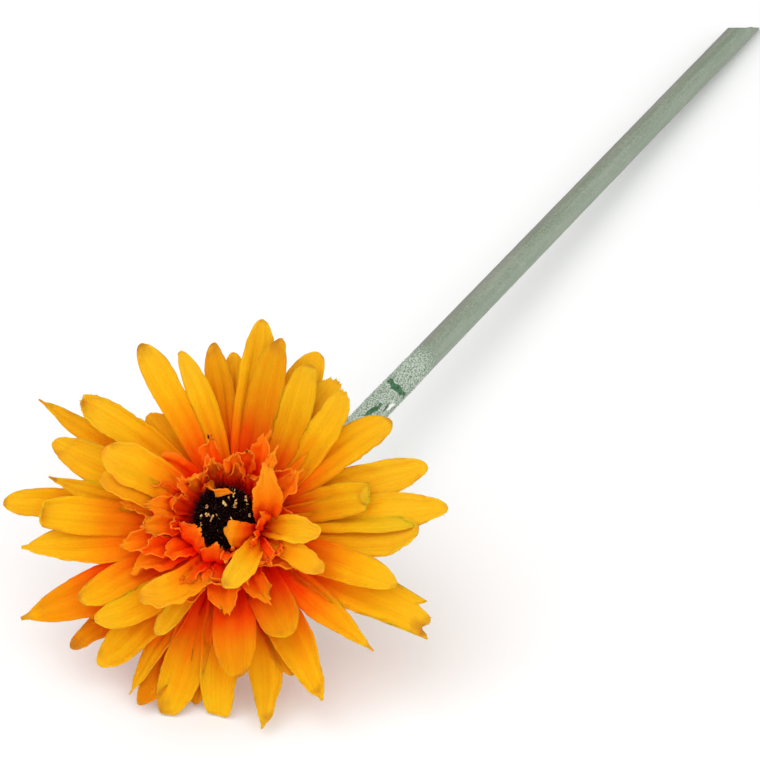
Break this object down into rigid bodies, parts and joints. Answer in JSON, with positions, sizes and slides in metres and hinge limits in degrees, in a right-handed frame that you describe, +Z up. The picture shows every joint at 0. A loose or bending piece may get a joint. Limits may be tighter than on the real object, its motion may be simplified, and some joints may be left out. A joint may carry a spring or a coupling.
{
  "type": "gerbera daisy",
  "caption": "Cut artificial gerbera daisy with layered yellow-orange petals, dark centre and bent neck, lying on its petal tips and stem end.",
  "frame": {"origin": "on the surface the flower lies on, under the middle of the whole flower's bounding box", "axes": "+X along the stem from the bloom to the cut end, +Z up from the surface"},
  "size_m": [0.3917, 0.1104, 0.0751],
  "materials": {
    "petals_outer": "thin woven petal cloth, yellow-orange tips shading to orange",
    "petals_inner": "thin woven petal cloth, orange shading to deep red at the roots",
    "disc": "short dark filaments with cream specks",
    "calyx": "matte green with overlapping bracts",
    "stem": "grey-green flocked surface"
  },
  "bodies": {
    "root": {"petals_outer": "petals_outer", "petals_inner": "petals_inner", "disc": "disc", "calyx": "calyx", "stem": "stem"}
  },
  "joints": []
}
